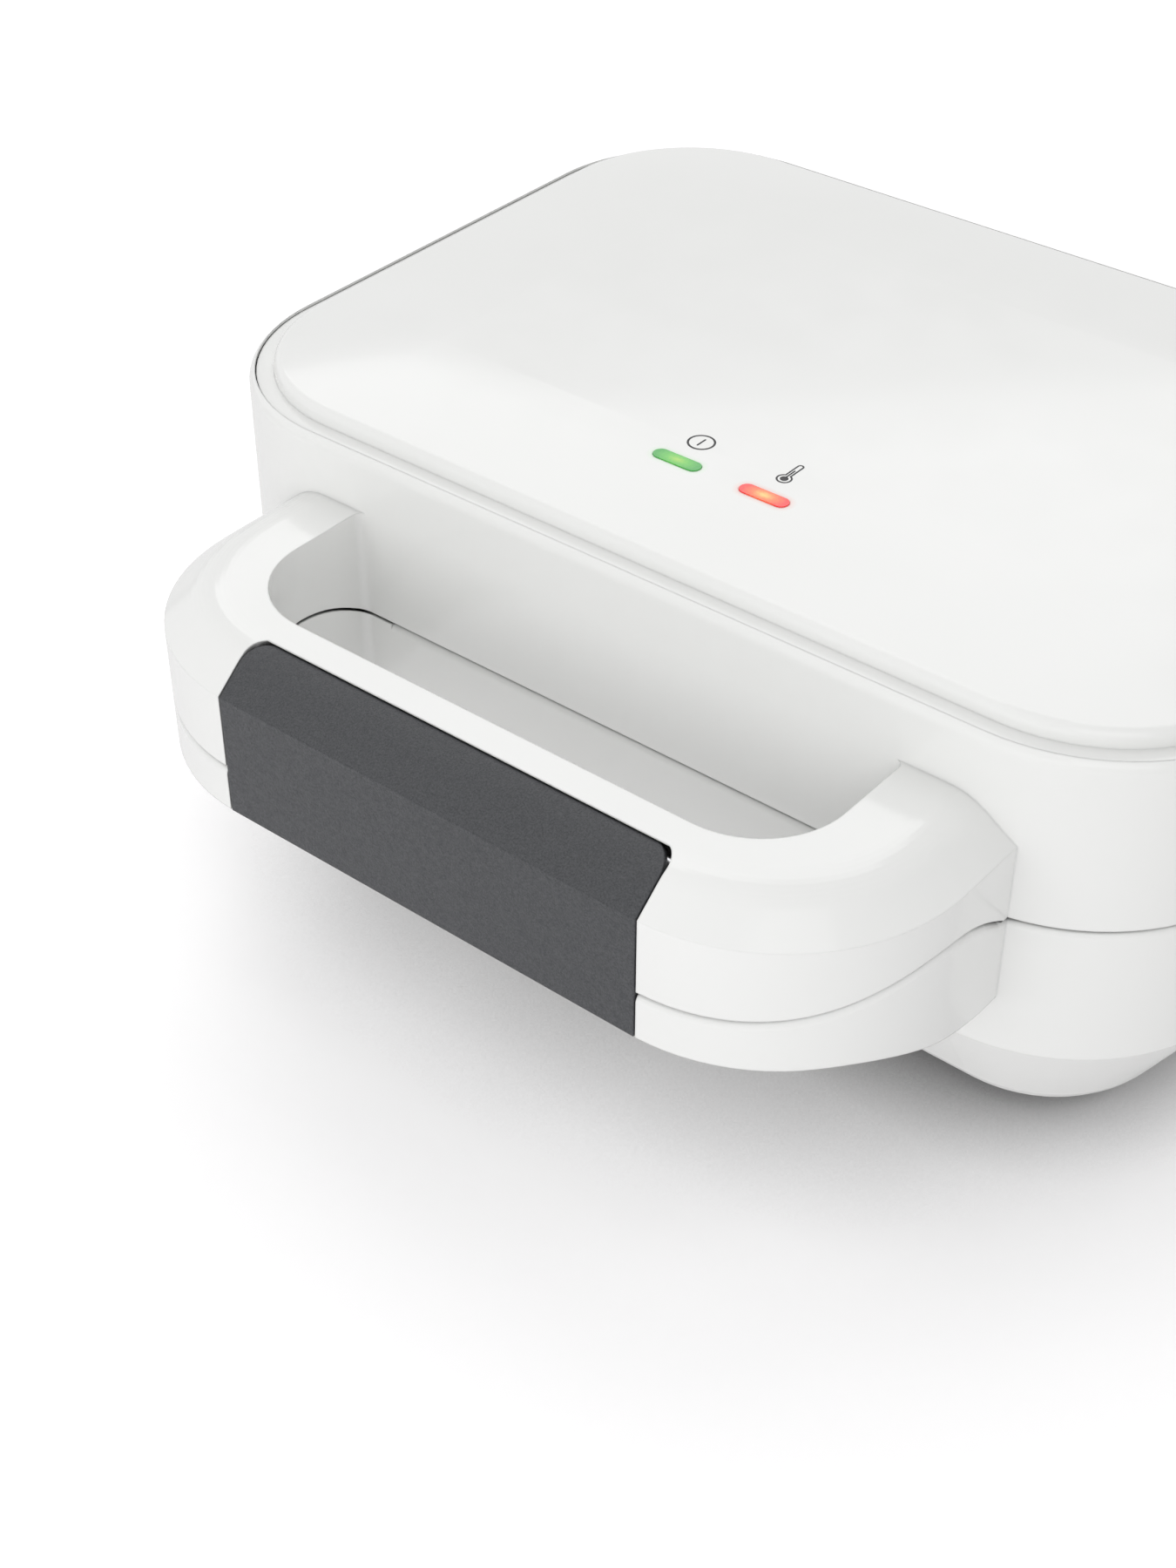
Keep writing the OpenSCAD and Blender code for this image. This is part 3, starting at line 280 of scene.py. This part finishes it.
def coated_plate():
    m, tree, p = new_material("coated_plate")
    grain = noise(tree, 1600.0, 4.0, 0.7)
    speck = remap(tree, grain, 0, 1, 0.45, 0.75)
    colour = mix_colours(tree, speck, (0.022, 0.022, 0.024), (0.07, 0.07, 0.073))
    tree.links.new(colour, p.inputs["Base Color"])
    tree.links.new(remap(tree, noise(tree, 120.0), 0.3, 0.42), p.inputs["Roughness"])
    edges = soft_edges(tree, 0.5 * MM)
    tree.links.new(bump(tree, grain, 0.25, 0.1 * MM, edges), p.inputs["Normal"])
    return m


def metal(name, tone, low, high, scale=400.0):
    m, tree, p = new_material(name)
    streak = noise(tree, scale, 4.0, 0.6)
    dark = tuple(0.9 * c for c in tone)
    colour = mix_colours(tree, remap(tree, streak, 0, 1), dark, tone)
    tree.links.new(colour, p.inputs["Base Color"])
    tree.links.new(remap(tree, streak, low, high), p.inputs["Roughness"])
    p.inputs["Metallic"].default_value = 1
    return m


def matt(name, tone, rough, scale=800.0):
    m, tree, p = new_material(name)
    grain = noise(tree, scale, 3.0)
    light = tuple(min(1, 1.25 * c) for c in tone)
    colour = mix_colours(tree, remap(tree, grain, 0, 1), tone, light)
    tree.links.new(colour, p.inputs["Base Color"])
    patches = remap(tree, noise(tree, scale / 3), rough - 0.06, rough + 0.06)
    tree.links.new(patches, p.inputs["Roughness"])
    tree.links.new(bump(tree, grain, 0.2, 0.1 * MM), p.inputs["Normal"])
    return m


GREEN = ((0.34, 0.60, 0.10), (0.13, 0.50, 0.08), (0.06, 0.36, 0.07))
RED = ((1.0, 0.50, 0.15), (0.88, 0.17, 0.06), (0.70, 0.04, 0.04))
# Colour of the painted glow that each lit lens throws on the panel round it.
LAMP_GLOW_TONES = (("power_lens", (0.70, 0.86, 0.68)), ("ready_lens", (0.88, 0.62, 0.56)))

# One material for each material slot of the record
MATERIALS = {
    "white_gloss": white_plastic("white_gloss"),
    "grey_grip": grey_grip(),
    "coated_plate": coated_plate(),
    "bright_steel": metal("bright_steel", (0.62, 0.62, 0.63), 0.22, 0.38),
    "reflector_sheet": metal("reflector_sheet", (0.74, 0.74, 0.75), 0.16, 0.3, 90.0),
    "black_rubber": matt("black_rubber", (0.020, 0.020, 0.021), 0.75),
    "dark_plastic": matt("dark_plastic", (0.030, 0.030, 0.031), 0.5),
    "green_lens": lit_lens("green_lens", "power_lens", GREEN, 0.22),
    "red_lens": lit_lens("red_lens", "ready_lens", RED, 0.42),
    "lamp_glass": matt("lamp_glass", (0.9, 0.8, 0.7), 0.2),
    "wire_sleeve": matt("wire_sleeve", (0.60, 0.58, 0.55), 0.7),
}


def dress_cad():
    for part in frame["record"]["subparts"]:
        slots = NODES[part["node"]].data.materials
        slots.clear()
        slots.append(MATERIALS[part["material_slot"]])
    panel = NODES["lid_top_panel"].data.materials
    panel.clear()
    panel.append(white_plastic("white_gloss_panel", LAMP_GLOW_TONES))


# ---------------------------------------------------------------- printed signs

def panel_height(y):
    """Height of the panel at a depth, flat behind PANEL_FLAT_FROM and domed before it."""
    low, high = (Vector(v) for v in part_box("lid_top_panel"))
    past = max(low.y + PANEL_FLAT_FROM - y, 0)
    return high.z - PANEL_DOME_R + math.sqrt(PANEL_DOME_R * PANEL_DOME_R - past * past)


def round_about(centre, radius, angle):
    return (centre[0] + radius * math.cos(angle), centre[1] + radius * math.sin(angle))


def ring_outline(centre, radius, steps=64):
    return [round_about(centre, radius, 2 * math.pi * k / steps) for k in range(steps)]


def bulb_outline(centre, radius, half, top, steps=48, tip_steps=12):
    """A round bulb with a stem towards +Y that ends in a half circle."""
    start = math.asin(half / radius)
    points = []
    for k in range(steps + 1):
        angle = math.pi / 2 - start - (2 * math.pi - 2 * start) * k / steps
        points.append(round_about(centre, radius, angle))
    tip = (centre[0], top - half)
    for k in range(tip_steps + 1):
        points.append(round_about(tip, half, math.pi - math.pi * k / tip_steps))
    return points


def bar_outline(a, c, half, steps=8):
    """A straight line from a to c with round ends."""
    d = (Vector(c) - Vector(a)).normalized()
    along = math.atan2(d.y, d.x)
    points = []
    for end, turn in ((c, -math.pi / 2), (a, math.pi / 2)):
        for k in range(steps + 1):
            points.append(round_about(end, half, along + turn + math.pi * k / steps))
    return points


def plate_of_ink(b, outer, inner=None):
    """A closed flat shape on the panel: a filled outline, or a ring between two."""

    def loop(points, lift):
        return [b.verts.new((x, y, panel_height(y) + lift)) for x, y in points]

    o_top, o_low = loop(outer, INK_ABOVE), loop(outer, -INK_BELOW)
    n = len(outer)
    for i in range(n):
        j = (i + 1) % n
        b.faces.new((o_low[i], o_low[j], o_top[j], o_top[i]))
    if inner is None:
        b.faces.new(o_top)
        b.faces.new(o_low[::-1])
        return
    i_top, i_low = loop(inner, INK_ABOVE), loop(inner, -INK_BELOW)
    for i in range(n):
        j = (i + 1) % n
        b.faces.new((i_top[i], i_top[j], i_low[j], i_low[i]))
        b.faces.new((o_top[i], o_top[j], i_top[j], i_top[i]))
        b.faces.new((o_low[j], o_low[i], i_low[i], i_low[j]))


def print_sign(name, shapes, material):
    b = bmesh.new()
    for shape in shapes:
        plate_of_ink(b, *shape)
    bmesh.ops.recalc_face_normals(b, faces=b.faces)
    mesh = bpy.data.meshes.new(name)
    b.to_mesh(mesh)
    b.free()
    mesh.materials.append(material)
    obj = bpy.data.objects.new(name, mesh)
    bpy.context.scene.collection.objects.link(obj)
    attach(obj, "lid")


def make_signs():
    """A ring with a bar behind the green lens, and a thermometer behind the red one."""
    ink = matt("ink", (0.010, 0.010, 0.012), 0.5, 3000.0)
    green = lens_size("power_lens")[0]
    c = (green.x - 0.4 * MM, green.y + 9.3 * MM)
    bar = ((c[0], c[1] - 1.45 * MM), (c[0], c[1] + 1.45 * MM))
    print_sign("power_mark", [
        (ring_outline(c, 3.25 * MM), ring_outline(c, 2.75 * MM)),
        (bar_outline(*bar, 0.22 * MM),),
    ], ink)
    red = lens_size("ready_lens")[0]
    t = (red.x - 0.7 * MM, red.y + 8.3 * MM)
    column = ((t[0], t[1] + 0.9 * MM), (t[0], t[1] + 4.0 * MM))
    print_sign("heat_mark", [
        (bulb_outline(t, 1.85 * MM, 0.84 * MM, t[1] + 7.0 * MM),
         bulb_outline(t, 1.43 * MM, 0.44 * MM, t[1] + 6.6 * MM)),
        (ring_outline(t, 0.95 * MM),),
        (bar_outline(*column, 0.2 * MM),),
    ], ink)


# ---------------------------------------------------------------- stage

def make_floor():
    """Pale floor that keeps the shadow, deepened for the camera by painted shadow round
    and under the part, and runs out into white far from the part.
    """
    mesh = bpy.data.meshes.new("floor")
    b = bmesh.new()
    bmesh.ops.create_grid(b, x_segments=1, y_segments=1, size=6)
    b.to_mesh(mesh)
    b.free()
    floor = bpy.data.objects.new("floor", mesh)
    bpy.context.scene.collection.objects.link(floor)
    m, tree, p = new_material("floor")
    seen = node(tree, "ShaderNodeLightPath").outputs["Is Camera Ray"]
    # Painted shadow: the floor's colour and its camera-only glow darken round and under
    # the part.
    shade = painted_crevice_shade(tree, (0.92, 0.915, 0.92), 0.115, 0.12, 0.80, seen)
    tree.links.new(shade, p.inputs["Base Color"])
    tree.links.new(shade, p.inputs["Emission Color"])
    p.inputs["Roughness"].default_value = 0.9
    p.inputs["Specular IOR Level"].default_value = 0.0
    away = vector_maths(tree, "LENGTH", coordinates(tree))
    glow = remap(tree, away, 0.27, 0.55, 0.5, 2.2)
    tree.links.new(maths(tree, "MULTIPLY", glow, seen), p.inputs["Emission Strength"])
    mesh.materials.append(m)


def make_world():
    """A soft even light, seen as plain white by the camera, in gloss and through glass."""
    world = bpy.data.worlds.new("world")
    bpy.context.scene.world = world
    world.use_nodes = True
    tree = world.node_tree
    background = tree.nodes["Background"]
    background.inputs["Color"].default_value = (1, 1, 1, 1)
    path = node(tree, "ShaderNodeLightPath").outputs
    mirrored = maths(tree, "MAXIMUM", path["Is Glossy Ray"], path["Is Transmission Ray"])
    seen = maths(tree, "MAXIMUM", path["Is Camera Ray"], mirrored)
    strength = remap(tree, seen, WORLD_LIGHT, WORLD_SEEN, 0, 1)
    tree.links.new(strength, background.inputs["Strength"])


def make_lamp(name, place, aim, size, power, mirrored):
    data = bpy.data.lights.new(name, "AREA")
    data.shape = "RECTANGLE"
    data.size, data.size_y = size
    data.energy = power
    obj = bpy.data.objects.new(name, data)
    bpy.context.scene.collection.objects.link(obj)
    obj.visible_glossy = mirrored
    obj.location = place
    obj.rotation_mode = "QUATERNION"
    obj.rotation_quaternion = (Vector(aim) - Vector(place)).to_track_quat("-Z", "Y")


make_camera()
dress_cad()
make_signs()
make_floor()
make_world()
for lamp in LAMPS:
    make_lamp(*lamp)

bpy.context.scene.view_settings.view_transform = "Standard"
